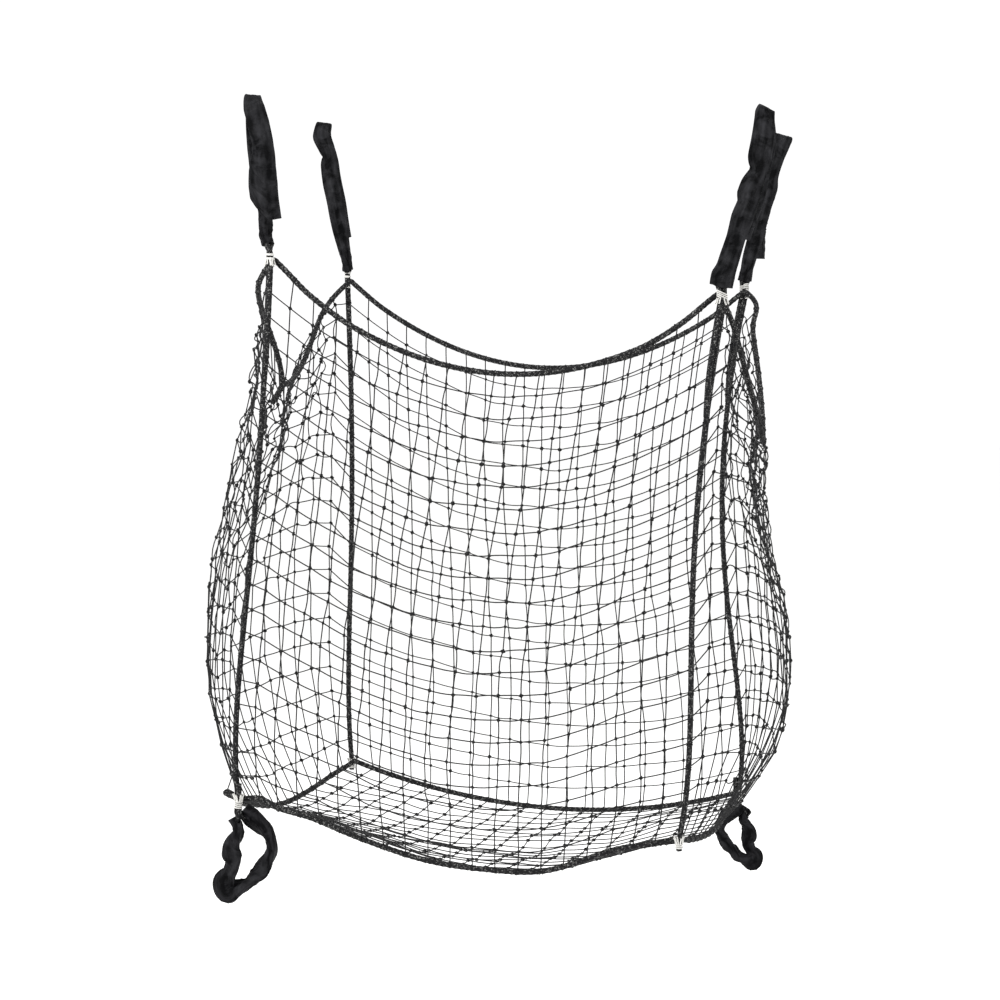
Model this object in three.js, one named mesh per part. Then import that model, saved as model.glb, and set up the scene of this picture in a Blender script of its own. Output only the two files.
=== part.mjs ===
// Mesh bulk bag for firewood: a knotted net hung in a frame of braided rope, with a cloth sleeve on each
// of its loops. It is open at the top and keeps the form that a full load gives it.
// Millimetres. +Z is up, +X runs to the right across the front and +Y runs to the rear.
// The origin is at the lifting level, midway between the tops of the four lifting loops.
import * as THREE from 'three';

// Rope, lashing and cloth
const ROPE_RADIUS = 6;
const ROPE_SIDES = 6;
const CLEARANCE = 0.4; // between pieces that lie against each other
const LASHING_HEIGHT = 24;
const LASHING_TWINE = 3;
const LASHING_SIDES = 8;
const SLEEVE_WALL = 1.5;
const SLEEVE_HALF_DEPTH = 8.3;
const SLEEVE_SIDES = 8;

// Net: each band stands for several strands of the 50 mm mesh
const NET_WALL = 3;
const NET_BAND = 34;
const NET_GAPS = 5; // across a panel, and down it
const NET_CLEARANCE = 0.45; // from a panel's edge to the rope that it is laced to

// Lifting and tipping loops
const LOOP_SPREAD = 60; // between the two legs where they pass over a fork
const LOOP_ARC_STEPS = 6;
const ROPE_END = 4; // rope that shows past a lashing
const RIM_END_GAP = 16; // between a rim rope's two ends, at the middle of the left side
const CORNER_TURN = 90; // length over which a rim rope swings in behind a corner rope
const BOW_TURN = 3; // how late a corner rope goes over from its upper bow to its lower one

// One row for each corner, in order round the bag. top and bottom: where the corner rope crosses the rims.
// bowHigh and bowLow: how far the rope bows outwards in its upper and lower half. loopX and loopZ: the top of
// the lifting loop. standEnd and returnEnd: the share of each leg that the sleeve leaves bare.
// tipping: the size of the tipping loop under the corner, or 0 for none.
const CORNERS = [
  { name: 'front_left', topX: -480, topY: -440, topZ: -335, bottomX: -550, bottomY: -450, bottomZ: -1445,
    bowHigh: -6, bowLow: 52, loopX: -508, loopZ: 16, standEnd: 0.13, returnEnd: 0.24, tipping: 1 },
  { name: 'front_right', topX: 460, topY: -425, topZ: -408, bottomX: 378, bottomY: -480, bottomZ: -1502,
    bowHigh: -37, bowLow: 54, loopX: 538, loopZ: -14, standEnd: 0.2, returnEnd: 0.13, tipping: 0 },
  { name: 'rear_right', topX: 440, topY: 435, topZ: -382, bottomX: 430, bottomY: 435, bottomZ: -1545,
    bowHigh: -75, bowLow: 50, loopX: 523, loopZ: -20, standEnd: 0.13, returnEnd: 0.2, tipping: 0.8 },
  { name: 'rear_left', topX: -495, topY: 415, topZ: -352, bottomX: -500, bottomY: 468, bottomZ: -1495,
    bowHigh: -16, bowLow: 45, loopX: -553, loopZ: 18, standEnd: 0.13, returnEnd: 0.2, tipping: 0 },
];

// One row for each side, from its first corner to its second. sag: how far the rim rope dips at mid span.
// topPoint: 2 for a round dip, 1 for a pointed one. topSpread: how soon the top rim stands out from the line
// between the corners, 1 for evenly and more for sooner.
const SIDES = [
  { name: 'front', from: 0, to: 1, topSag: 184, topPoint: 2, topSpread: 2, bottomSag: 86 },
  { name: 'right', from: 1, to: 2, topSag: 312, topPoint: 1.2, topSpread: 1.6, bottomSag: 28 },
  { name: 'rear', from: 2, to: 3, topSag: 188, topPoint: 2, topSpread: 2, bottomSag: 86 },
  { name: 'left', from: 3, to: 0, topSag: 288, topPoint: 1, topSpread: 4, bottomSag: 80 },
];

// How far the middle of each side stands out from the line between its corners, from rim (0) to foot (1).
const BELLY = [
  { down: 0.0, front: 0, right: 60, rear: 0, left: 60 },
  { down: 0.15, front: 41, right: 86, rear: 38, left: 98 },
  { down: 0.3, front: 96, right: 121, rear: 96, left: 149 },
  { down: 0.45, front: 152, right: 162, rear: 154, left: 185 },
  { down: 0.6, front: 184, right: 170, rear: 186, left: 193 },
  { down: 0.75, front: 177, right: 150, rear: 176, left: 175 },
  { down: 0.9, front: 120, right: 76, rear: 117, left: 116 },
  { down: 1.0, front: 70, right: 14, rear: 70, left: 70 },
];

// Flat width of each lifting loop's sleeve, from its end on the standing leg over the fork to the other end.
const LIFT_SLEEVE_WIDTH = {
  front_left: {
    standEnd: 26, standLow: 26, standHigh: 40, fold: 44, returnHigh: 54, returnLow: 58, returnEnd: 50,
  },
  front_right: {
    standEnd: 40, standLow: 44, standHigh: 44, fold: 38, returnHigh: 40, returnLow: 44, returnEnd: 50,
  },
  rear_right: {
    standEnd: 26, standLow: 36, standHigh: 46, fold: 42, returnHigh: 46, returnLow: 44, returnEnd: 34,
  },
  rear_left: {
    standEnd: 22, standLow: 40, standHigh: 48, fold: 36, returnHigh: 44, returnLow: 46, returnEnd: 40,
  },
};

// The tipping loop, seen from the front of its corner: across is towards the middle of the bag, drop is below
// the corner, share is how far round it is, and width is the flat width of its sleeve there, 0 for bare rope.
const TIPPING_LOOP = [
  { across: 8, drop: 46, share: 0.1, width: 0 },
  { across: 30, drop: 58, share: 0.2, width: 34 },
  { across: 50, drop: 80, share: 0.3, width: 40 },
  { across: 60, drop: 108, share: 0.4, width: 32 },
  { across: 52, drop: 140, share: 0.5, width: 36 },
  { across: 26, drop: 166, share: 0.58, width: 32 },
  { across: -4, drop: 186, share: 0.65, width: 44 },
  { across: -30, drop: 178, share: 0.72, width: 46 },
  { across: -30, drop: 150, share: 0.8, width: 36 },
  { across: -20, drop: 115, share: 0.88, width: 40 },
  { across: -14, drop: 80, share: 0.95, width: 26 },
  { across: -10, drop: 56, share: 1, width: 22 },
];

const UP = new THREE.Vector3(0, 0, 1);
const ACROSS = new THREE.Vector3(1, 0, 0);
const ROPE_PITCH = 2 * ROPE_RADIUS + CLEARANCE; // between two ropes that lie side by side
const { lerp, clamp } = THREE.MathUtils;

// Materials
const finish = (color, roughness) => new THREE.MeshStandardMaterial({ color, roughness, metalness: 0 });
const braidedRope = finish(0x1d1d1f, 0.75);
const netTwine = finish(0x19191b, 0.7);
const sleeveCloth = finish(0x202022, 0.85);
const whiteTwine = finish(0xe8e8e6, 0.8);

// A course through its own points: equal steps of the parameter fall on the points.
class Route extends THREE.Curve {
  constructor(points) {
    super();
    this.points = points;
  }
  getPoint(t, target = new THREE.Vector3()) {
    const place = t * (this.points.length - 1);
    const i = Math.min(Math.floor(place + 1e-9), this.points.length - 2);
    return target.lerpVectors(this.points[i], this.points[i + 1], place - i);
  }
  getPointAt(t, target) {
    return this.getPoint(t, target);
  }
  getTangentAt(t, target = new THREE.Vector3()) {
    return target.copy(tangentAt(this.points, Math.round(t * (this.points.length - 1))));
  }
}

// The direction of a course at one of its points, halfway between the steps before and after it.
function tangentAt(points, i) {
  const here = points[i];
  const before = i > 0 ? here.clone().sub(points[i - 1]).normalize() : new THREE.Vector3();
  const after = i < points.length - 1 ? points[i + 1].clone().sub(here).normalize() : new THREE.Vector3();
  return before.add(after).normalize();
}

function rope(points) {
  const corner = (i) => (2 * Math.PI * i) / ROPE_SIDES;
  const section = new THREE.Shape(Array.from({ length: ROPE_SIDES }, (_, i) =>
    new THREE.Vector2(ROPE_RADIUS * Math.cos(corner(i)), ROPE_RADIUS * Math.sin(corner(i)))));
  return new THREE.ExtrudeGeometry(section, {
    steps: points.length - 1, bevelEnabled: false, extrudePath: new Route(points),
  });
}

// Points round a flattened tube: two half circles joined by straight lines.
function stadium(halfWidth, halfDepth, sides) {
  return Array.from({ length: sides }, (_, k) => {
    const angle = ((k + 0.5) * 2 * Math.PI) / sides;
    return [Math.sign(Math.cos(angle)) * (halfWidth - halfDepth) + halfDepth * Math.cos(angle),
      halfDepth * Math.sin(angle)];
  });
}

// A hollow flattened tube with open ends. Each station has its centre, its tangent, the direction of its flat
// side, and its outer and inner outline.
function hollowTube(stations) {
  const sides = stations[0].outer.length;
  const positions = [];
  const place = (station, [w, d]) => {
    const flat = station.flat.clone().projectOnPlane(station.tangent).normalize();
    const deep = station.tangent.clone().cross(flat);
    return station.centre.clone().addScaledVector(flat, w).addScaledVector(deep, d);
  };
  for (const station of stations) {
    for (const outline of [station.outer, station.inner]) {
      for (const point of outline) positions.push(...place(station, point).toArray());
    }
  }
  const outer = (i, k) => 2 * sides * i + (k % sides);
  const inner = (i, k) => outer(i, k) + sides;
  const index = [];
  const quad = (a, b, c, d) => index.push(a, b, c, a, c, d);
  for (let k = 0; k < sides; k += 1) {
    for (let i = 0; i + 1 < stations.length; i += 1) {
      quad(outer(i, k), outer(i, k + 1), outer(i + 1, k + 1), outer(i + 1, k));
      quad(inner(i, k), inner(i + 1, k), inner(i + 1, k + 1), inner(i, k + 1));
    }
    const last = stations.length - 1;
    quad(outer(0, k), inner(0, k), inner(0, k + 1), outer(0, k + 1));
    quad(outer(last, k), outer(last, k + 1), inner(last, k + 1), inner(last, k));
  }
  return indexed(positions, index);
}

function indexed(positions, index) {
  const geometry = new THREE.BufferGeometry();
  geometry.setAttribute('position', new THREE.Float32BufferAttribute(positions, 3));
  geometry.setIndex(index);
  geometry.computeVertexNormals();
  return geometry;
}

// Corner places and directions
const topOf = (c) => new THREE.Vector3(c.topX, c.topY, c.topZ);
const bottomOf = (c) => new THREE.Vector3(c.bottomX, c.bottomY, c.bottomZ);
const outwardOf = (c) => new THREE.Vector3(Math.sign(c.topX), Math.sign(c.topY), 0).normalize();

// A corner rope's middle line, from the top rim (0) to the bottom rim (1).
function cornerLine(c, down) {
  const bow = 4 * down * (1 - down) * lerp(c.bowHigh, c.bowLow, down ** BOW_TURN);
  return topOf(c).lerp(bottomOf(c), down).addScaledVector(outwardOf(c), bow);
}

function belly(side, down) {
  const i = clamp(BELLY.findIndex((row) => row.down >= down), 1, BELLY.length - 1);
  const [above, below] = [BELLY[i - 1], BELLY[i]];
  const share = (down - above.down) / (below.down - above.down);
  return lerp(above[side.name], below[side.name], share * share * (3 - 2 * share) * 0.4 + share * 0.6);
}

function outwardOfSide(side) {
  const along = topOf(CORNERS[side.to]).sub(topOf(CORNERS[side.from])).setZ(0).normalize();
  return along.cross(UP);
}

// The rim ropes' middle lines along a side: top (0) or bottom (1), from its first corner (0) to its
// second (1).
function rimLine(side, end, along) {
  const [from, to] = [side.from, side.to].map((i) => (end === 0 ? topOf : bottomOf)(CORNERS[i]));
  const foot = { sag: side.bottomSag, point: 2, spread: 2 };
  const head = { sag: side.topSag, point: side.topPoint, spread: side.topSpread };
  const { sag, point, spread: soon } = end === 0 ? head : foot;
  const fromMiddle = Math.abs(2 * along - 1);
  return from.lerp(to, along)
    .addScaledVector(UP, -sag * (1 - fromMiddle ** point))
    .addScaledVector(outwardOfSide(side), belly(side, end) * (1 - fromMiddle ** soon));
}

// A rim rope's course along a side, which swings in to pass behind the corner ropes.
function rimCourse(side, end, along) {
  const nearest = CORNERS[along < 0.5 ? side.from : side.to];
  const width = topOf(CORNERS[side.from]).distanceTo(topOf(CORNERS[side.to]));
  const swing = Math.max(0, 1 - (Math.min(along, 1 - along) * width) / CORNER_TURN);
  return rimLine(side, end, along).addScaledVector(outwardOf(nearest), -ROPE_PITCH * swing);
}

// A patch spread between four edge lines that meet at its corners.
function spread(first, last, left, right) {
  return (u, v) => first(u).multiplyScalar(1 - v).addScaledVector(last(u), v)
    .addScaledVector(left(v), 1 - u).addScaledVector(right(v), u)
    .addScaledVector(first(0), -(1 - u) * (1 - v)).addScaledVector(first(1), -u * (1 - v))
    .addScaledVector(last(0), -(1 - u) * v).addScaledVector(last(1), -u * v);
}

// The net on one side of the bag: u runs from corner to corner and v from the top rim to the bottom rim.
function sideSurface(side) {
  const patch = spread((u) => rimLine(side, 0, u), (u) => rimLine(side, 1, u),
    (v) => cornerLine(CORNERS[side.from], v), (v) => cornerLine(CORNERS[side.to], v));
  const outward = outwardOfSide(side);
  return (u, v) => {
    const fullness = belly(side, v) - lerp(belly(side, 0), belly(side, 1), v);
    return patch(u, v).addScaledVector(outward, fullness * 4 * u * (1 - u));
  };
}

// The net under the bag: u runs from left to right and v from front to rear.
function floorSurface() {
  const [front, right, rear, left] = SIDES;
  return spread((u) => rimCourse(front, 1, u), (u) => rimCourse(rear, 1, 1 - u),
    (v) => rimCourse(left, 1, 1 - v), (v) => rimCourse(right, 1, v));
}

// The shares of a surface that its net spans, drawn in from the four edges to lie beside the ropes.
function lacing(surface) {
  const step = 1e-4;
  const inset = (u, v) => {
    const [u0, v0] = [clamp(u, step, 1 - step), clamp(v, step, 1 - step)];
    const du = surface(u0 + step, v0).sub(surface(u0 - step, v0)).divideScalar(2 * step);
    const dv = surface(u0, v0 + step).sub(surface(u0, v0 - step)).divideScalar(2 * step);
    const reach = (ROPE_RADIUS + NET_CLEARANCE) / du.clone().cross(dv).length();
    return { u: reach * dv.length(), v: reach * du.length() };
  };
  return {
    u: (u, v) => lerp(inset(0, v).u, 1 - inset(1, v).u, u),
    v: (u, v) => lerp(inset(u, 0).v, 1 - inset(u, 1).v, v),
  };
}

// Shares of a panel where its bands and gaps begin. Each gap may be cut in two to follow a curve.
function bandEdges(length, cuts) {
  const band = NET_BAND / length;
  const gap = (1 - band * (NET_GAPS + 1)) / NET_GAPS;
  const edges = [{ at: 0, gap: false }];
  for (let i = 0; i < NET_GAPS; i += 1) {
    const start = band + i * (band + gap);
    for (let cut = 0; cut < cuts; cut += 1) edges.push({ at: start + (gap * cut) / cuts, gap: true });
    edges.push({ at: start + gap, gap: false });
  }
  return [...edges, { at: 1, gap: false }];
}

const lengthOf = (line) => line.slice(1).reduce((sum, p, i) => sum + p.distanceTo(line[i]), 0);
const sample = (line, steps) => Array.from({ length: steps + 1 }, (_, i) => line(i / steps));
const acrossEdges = (surface, cuts) => bandEdges(lengthOf(sample((u) => surface(u, 0.5), 12)), cuts);
const downEdges = (surface, cuts) => bandEdges(lengthOf(sample((v) => surface(0.5, v), 12)), cuts);

// A wall of crossing bands over a surface, cut through between them.
function netPanel(surface, columns, rows) {
  const positions = [];
  const step = 1e-3;
  for (const side of [0.5, -0.5]) {
    for (const row of rows) {
      for (const column of columns) {
        const [u, v] = [clamp(column.at, step, 1 - step), clamp(row.at, step, 1 - step)];
        const du = surface(u + step, v).sub(surface(u - step, v));
        const dv = surface(u, v + step).sub(surface(u, v - step));
        const outward = dv.cross(du).normalize();
        positions.push(...surface(column.at, row.at).addScaledVector(outward, side * NET_WALL).toArray());
      }
    }
  }
  const front = (i, j) => j * columns.length + i;
  const back = (i, j) => front(i, j) + columns.length * rows.length;
  const [lastColumn, lastRow] = [columns.length - 1, rows.length - 1];
  const inside = (i, j) => i >= 0 && j >= 0 && i < lastColumn && j < lastRow;
  const solid = (i, j) => inside(i, j) && !(columns[i].gap && rows[j].gap);
  const index = [];
  const quad = (a, b, c, d) => index.push(a, b, c, a, c, d);
  for (let j = 0; j < lastRow; j += 1) {
    for (let i = 0; i < lastColumn; i += 1) {
      if (!solid(i, j)) continue;
      quad(front(i, j), front(i, j + 1), front(i + 1, j + 1), front(i + 1, j));
      quad(back(i, j), back(i + 1, j), back(i + 1, j + 1), back(i, j + 1));
      if (!solid(i, j - 1)) quad(front(i, j), front(i + 1, j), back(i + 1, j), back(i, j));
      if (!solid(i, j + 1)) quad(front(i + 1, j + 1), front(i, j + 1), back(i, j + 1), back(i + 1, j + 1));
      if (!solid(i - 1, j)) quad(front(i, j + 1), front(i, j), back(i, j), back(i, j + 1));
      if (!solid(i + 1, j)) quad(front(i + 1, j), front(i + 1, j + 1), back(i + 1, j + 1), back(i + 1, j));
    }
  }
  return indexed(positions, index);
}

// A lifting loop's middle line: up the standing leg from the lashing, over the fork and down the other leg.
function liftingLoop(c) {
  const rise = new THREE.Vector3(0, 0, ROPE_RADIUS + LASHING_HEIGHT + ROPE_END);
  const stand = topOf(c).add(rise);
  const back = stand.clone().addScaledVector(outwardOf(c), ROPE_PITCH);
  const radius = LOOP_SPREAD / 2;
  const facing = Math.sign(c.topY); // the second leg lies on the bag's outer side
  const centre = new THREE.Vector3(c.loopX, c.topY, c.loopZ - SLEEVE_HALF_DEPTH - radius);
  const arc = sample((t) => centre.clone()
    .addScaledVector(new THREE.Vector3(0, -facing, 0), radius * Math.cos(Math.PI * t))
    .addScaledVector(UP, radius * Math.sin(Math.PI * t)), LOOP_ARC_STEPS);
  const leg = (foot, head, bare) => [0, bare, 0.4, 0.7].map((share) => foot.clone().lerp(head, share));
  const returning = leg(back, arc[LOOP_ARC_STEPS], c.returnEnd).reverse();
  return [...leg(stand, arc[0], c.standEnd), ...arc, ...returning];
}

function liftingSleeve(c) {
  const line = liftingLoop(c);
  const width = LIFT_SLEEVE_WIDTH[c.name];
  const fold = Array(LOOP_ARC_STEPS + 1).fill(width.fold);
  const widths = [width.standEnd, width.standLow, width.standHigh, ...fold,
    width.returnHigh, width.returnLow, width.returnEnd];
  return hollowTube(widths.map((full, i) => sleeveStation(line, i + 1, full, ACROSS)));
}

function sleeveStation(line, i, width, flat) {
  return {
    centre: line[i], tangent: tangentAt(line, i), flat,
    outer: stadium(width / 2, SLEEVE_HALF_DEPTH, SLEEVE_SIDES),
    inner: stadium(width / 2 - SLEEVE_WALL, SLEEVE_HALF_DEPTH - SLEEVE_WALL, SLEEVE_SIDES),
  };
}

// A tipping loop's middle line, from the corner rope's foot round to the rope's end beside it.
function tippingLoop(c) {
  const inward = -Math.sign(c.topX);
  return TIPPING_LOOP.map((row) => bottomOf(c)
    .addScaledVector(outwardOf(c).setX(0), ROPE_PITCH * row.share)
    .add(new THREE.Vector3(inward * row.across * c.tipping, 0, -lerp(40, row.drop, c.tipping))));
}

function tippingSleeve(c) {
  const line = tippingLoop(c);
  const stations = TIPPING_LOOP.map((row, i) => ({ row, i })).filter(({ row }) => row.width > 0);
  return hollowTube(stations.map(({ row, i }) => {
    const flat = tangentAt(line, i).cross(new THREE.Vector3(0, 1, 0));
    return sleeveStation(line, i, Math.max(row.width * c.tipping, 2 * SLEEVE_HALF_DEPTH + 1), flat);
  }));
}

// One rope for each corner: the rope end at the top, the lifting loop, the corner itself and, where the bag
// has one, the tipping loop with its own rope end. Both ends lie along the outside of the corner.
function cornerRope(c, levels) {
  const beside = outwardOf(c).multiplyScalar(ROPE_PITCH);
  const reach = new THREE.Vector3(0, 0, ROPE_RADIUS + LASHING_HEIGHT + ROPE_END);
  const standing = [0, ...levels, 1].map((level) => cornerLine(c, level));
  const laidBeside = (points) => points.map((point) => point.clone().add(beside));
  const tail = laidBeside(standing.slice(0, 4)).reverse();
  const course = [...tail, ...liftingLoop(c).reverse(), ...standing, bottomOf(c).sub(reach)];
  if (!c.tipping) return rope(course);
  const end = laidBeside(standing.slice(-3)).reverse();
  return rope([...course, ...tippingLoop(c), end[0].clone().sub(reach), ...end]);
}

// White twine wound round the two legs of a loop, or round a single rope end.
function lashing(centre, flat, legs) {
  const depth = ROPE_RADIUS + CLEARANCE;
  const inside = { width: depth + ((legs - 1) * ROPE_PITCH) / 2, depth };
  const outline = (grow) => stadium(inside.width + grow, inside.depth + grow, LASHING_SIDES);
  const turns = [
    { rise: -0.5, swell: 0.5 },
    { rise: -0.25, swell: 1 },
    { rise: 0.25, swell: 1 },
    { rise: 0.5, swell: 0.5 },
  ];
  return hollowTube(turns.map(({ rise, swell }) => ({
    centre: centre.clone().addScaledVector(UP, rise * LASHING_HEIGHT), tangent: UP, flat,
    outer: outline(swell * LASHING_TWINE), inner: outline(CLEARANCE / 2),
  })));
}

// A rim rope's course: round the inside of every corner, from the middle of the left side back to it.
function rimRope(end, panels) {
  const left = panels.find((panel) => panel.side.name === 'left');
  const runs = [
    { panel: left, start: 0.5, stop: 1 },
    ...panels.filter((panel) => panel !== left).map((panel) => ({ panel, start: 0, stop: 1 })),
    { panel: left, start: 0, stop: 0.5 },
  ];
  const course = runs.flatMap(({ panel, start, stop }) => {
    const { side, lace, columns, width } = panel;
    const shares = columns.map((column) => column.at).filter((at) => at >= start && at <= stop);
    const places = shares.map((at) => {
      const joint = at === 0.5 && side.name === 'left' ? RIM_END_GAP / 2 / width : 0;
      return lace.u(at, end) + (start === 0.5 ? joint : -joint);
    });
    return (start === 0 ? [0, ...places] : places).map((along) => rimCourse(side, end, along));
  });
  return rope(course);
}

// The four sides and the floor
const sidePanels = SIDES.map((side) => {
  const surface = sideSurface(side);
  const lace = lacing(surface);
  return {
    side, surface, lace,
    width: topOf(CORNERS[side.from]).distanceTo(topOf(CORNERS[side.to])),
    columns: acrossEdges(surface, 2),
    rows: downEdges(surface, 1),
  };
});
const floor = floorSurface();
const floorPanel = {
  side: { name: 'bottom' }, surface: floor, lace: lacing(floor),
  columns: acrossEdges(floor, 2), rows: downEdges(floor, 2),
};

const bag = new THREE.Group();
bag.name = 'mesh_bulk_bag';

function add(name, geometry, material) {
  const mesh = new THREE.Mesh(geometry, material);
  mesh.name = name;
  bag.add(mesh);
}

for (const { side, surface, lace, columns, rows } of [...sidePanels, floorPanel]) {
  const net = (u, v) => surface(lace.u(u, v), lace.v(u, v));
  add(`net_${side.name}`, netPanel(net, columns, rows), netTwine);
}

add('rim_rope_top', rimRope(0, sidePanels), braidedRope);
add('rim_rope_bottom', rimRope(1, sidePanels), braidedRope);

for (const [i, corner] of CORNERS.entries()) {
  const panel = sidePanels[i < 2 ? 0 : 2];
  const edge = panel.side.from === i ? 0 : 1;
  const levels = panel.rows.map((row) => panel.lace.v(edge, row.at));
  add(`corner_rope_${corner.name}`, cornerRope(corner, levels), braidedRope);
  add(`lifting_sleeve_${corner.name}`, liftingSleeve(corner), sleeveCloth);
  if (corner.tipping) add(`tipping_sleeve_${corner.name}`, tippingSleeve(corner), sleeveCloth);

  const between = outwardOf(corner).multiplyScalar(ROPE_PITCH / 2);
  const clear = ROPE_RADIUS + CLEARANCE + LASHING_HEIGHT / 2;
  const above = topOf(corner).add(between).addScaledVector(UP, clear);
  add(`lashing_top_${corner.name}`, lashing(above, between, 2), whiteTwine);
  const legs = corner.tipping ? 2 : 1;
  const below = bottomOf(corner).addScaledVector(between, legs - 1).addScaledVector(UP, -clear);
  add(`lashing_bottom_${corner.name}`, lashing(below, between, legs), whiteTwine);
}

export default bag;
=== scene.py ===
import bpy
import math
import random
from functools import partial
from mathutils import Matrix, Vector, noise


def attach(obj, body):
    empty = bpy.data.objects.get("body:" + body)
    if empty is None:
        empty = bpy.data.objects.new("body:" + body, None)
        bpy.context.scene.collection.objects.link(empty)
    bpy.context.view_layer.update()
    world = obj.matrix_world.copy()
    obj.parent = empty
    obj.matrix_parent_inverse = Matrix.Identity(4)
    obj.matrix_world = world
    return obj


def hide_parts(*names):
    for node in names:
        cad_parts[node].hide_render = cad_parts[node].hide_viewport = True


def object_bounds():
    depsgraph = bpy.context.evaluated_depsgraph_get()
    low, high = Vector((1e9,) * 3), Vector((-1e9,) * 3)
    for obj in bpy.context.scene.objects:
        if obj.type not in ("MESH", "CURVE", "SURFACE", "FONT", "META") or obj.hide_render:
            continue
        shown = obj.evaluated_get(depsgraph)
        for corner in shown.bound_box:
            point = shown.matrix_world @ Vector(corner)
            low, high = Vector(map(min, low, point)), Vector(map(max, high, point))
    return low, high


# Mesh bulk bag: knotted net in a frame of braided rope, cloth sleeves on its loops, white lashings.
# Metres, in the frame of the part: +X right across the front, +Y to the rear, +Z up.
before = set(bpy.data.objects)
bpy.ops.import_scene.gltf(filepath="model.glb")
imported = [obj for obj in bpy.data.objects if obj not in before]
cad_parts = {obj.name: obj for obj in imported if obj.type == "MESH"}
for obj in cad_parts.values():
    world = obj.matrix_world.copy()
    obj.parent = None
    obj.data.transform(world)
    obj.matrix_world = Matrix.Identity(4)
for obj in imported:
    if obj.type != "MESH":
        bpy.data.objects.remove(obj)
cadLow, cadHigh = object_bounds()
print("frame loaded:", len(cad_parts), "solids")

mm = 0.001
up = Vector((0, 0, 1))
noise.seed_set(5)  # the clock is the seed otherwise


def lerp(a, b, share):
    return a + (b - a) * share


def clamp(value, low=0.0, high=1.0):
    return max(low, min(high, value))


def smooth(share):
    share = clamp(share)
    return share * share * (3 - 2 * share)


def throughPoints(points, steps):
    # even spline through rows of numbers, steps to each span
    rows = [Vector(p) for p in points]
    rows = [rows[0] * 2 - rows[1]] + rows + [rows[-1] * 2 - rows[-2]]
    out = []
    for p0, p1, p2, p3 in zip(rows, rows[1:], rows[2:], rows[3:]):
        for i in range(steps):
            t = i / steps
            out.append(0.5 * ((2 * p1) + (p2 - p0) * t + (2 * p0 - 5 * p1 + 4 * p2 - p3) * t * t
                              + (3 * p1 - p0 - 3 * p2 + p3) * t ** 3))
    return out + [rows[-2].copy()]


def tint(code):
    # sRGB hex to linear
    parts = [int(code[i:i + 2], 16) / 255 for i in (1, 3, 5)]
    return tuple(p / 12.92 if p <= 0.04045 else ((p + 0.055) / 1.055) ** 2.4 for p in parts) + (1.0,)


def addNode(tree, kind, inputs=None, **settings):
    node = tree.nodes.new(kind)
    for name, value in settings.items():
        setattr(node, name, value)
    for key, value in (inputs or {}).items():
        if isinstance(value, bpy.types.NodeSocket):
            tree.links.new(value, node.inputs[key])
        else:
            node.inputs[key].default_value = value
    return node


def newMaterial(name, shine):
    material = bpy.data.materials.new(name)
    material.use_nodes = True
    for label, value in shine.items():
        material.node_tree.nodes["Principled BSDF"].inputs[label].default_value = value
    return material, partial(addNode, material.node_tree)


# Camera, floor and light
studio = {
    "camera": (0.952, -6.430, -0.467),
    "forward": (-0.1562, 0.9861, -0.0573),
    "sensor": 36, "lens": 106.6,  # millimetres
    "floorHalf": 40.0,
    "floorDrop": 0.52,  # floor below the lowest loop
    "floorTint": "#fbfbfa", "floorRoughness": 0.9,
    "worldTint": "#ffffff", "worldStrength": 1.06,
    "lampsFace": (-0.04, 0, -0.85),
    "lamps": [
        {"name": "keyPanel", "at": (-3.2, -3.6, 2.2), "power": 410, "size": 2.0},
        {"name": "sidePanel", "at": (3.8, -2.4, 0.6), "power": 130, "size": 2.0},
        {"name": "backPanel", "at": (1.5, 4.2, 2.6), "power": 70, "size": 2.4},
    ],
}


def makeStudio():
    scene = bpy.context.scene
    lens = bpy.data.cameras.new("photoCamera")
    lens.sensor_width = studio["sensor"]
    lens.lens = studio["lens"]
    camera = bpy.data.objects.new("photoCamera", lens)
    camera.location = studio["camera"]
    camera.rotation_euler = Vector(studio["forward"]).to_track_quat("-Z", "Y").to_euler()
    scene.collection.objects.link(camera)
    scene.camera = camera
    scene.view_settings.view_transform = "Standard"

    floorMesh = bpy.data.meshes.new("floor")
    half, z = studio["floorHalf"], cadLow.z - studio["floorDrop"]
    square = [(-half, -half, z), (half, -half, z), (half, half, z), (-half, half, z)]
    floorMesh.from_pydata(square, [], [(0, 1, 2, 3)])
    floor = bpy.data.objects.new("floor", floorMesh)
    scene.collection.objects.link(floor)
    paper, _ = newMaterial("studio paper", {"Base Color": tint(studio["floorTint"]),
                                            "Roughness": studio["floorRoughness"]})
    floorMesh.materials.append(paper)

    world = bpy.data.worlds.new("softWhite")
    world.use_nodes = True
    back = world.node_tree.nodes["Background"]
    back.inputs["Color"].default_value = tint(studio["worldTint"])
    back.inputs["Strength"].default_value = studio["worldStrength"]
    scene.world = world

    for lamp in studio["lamps"]:
        light = bpy.data.lights.new(lamp["name"], "AREA")
        light.energy = lamp["power"]
        light.size = lamp["size"]
        panel = bpy.data.objects.new(lamp["name"], light)
        panel.location = lamp["at"]
        facing = Vector(studio["lampsFace"]) - Vector(lamp["at"])
        panel.rotation_euler = facing.to_track_quat("-Z", "Y").to_euler()
        scene.collection.objects.link(panel)
    print("studio set")


makeStudio()


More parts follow.
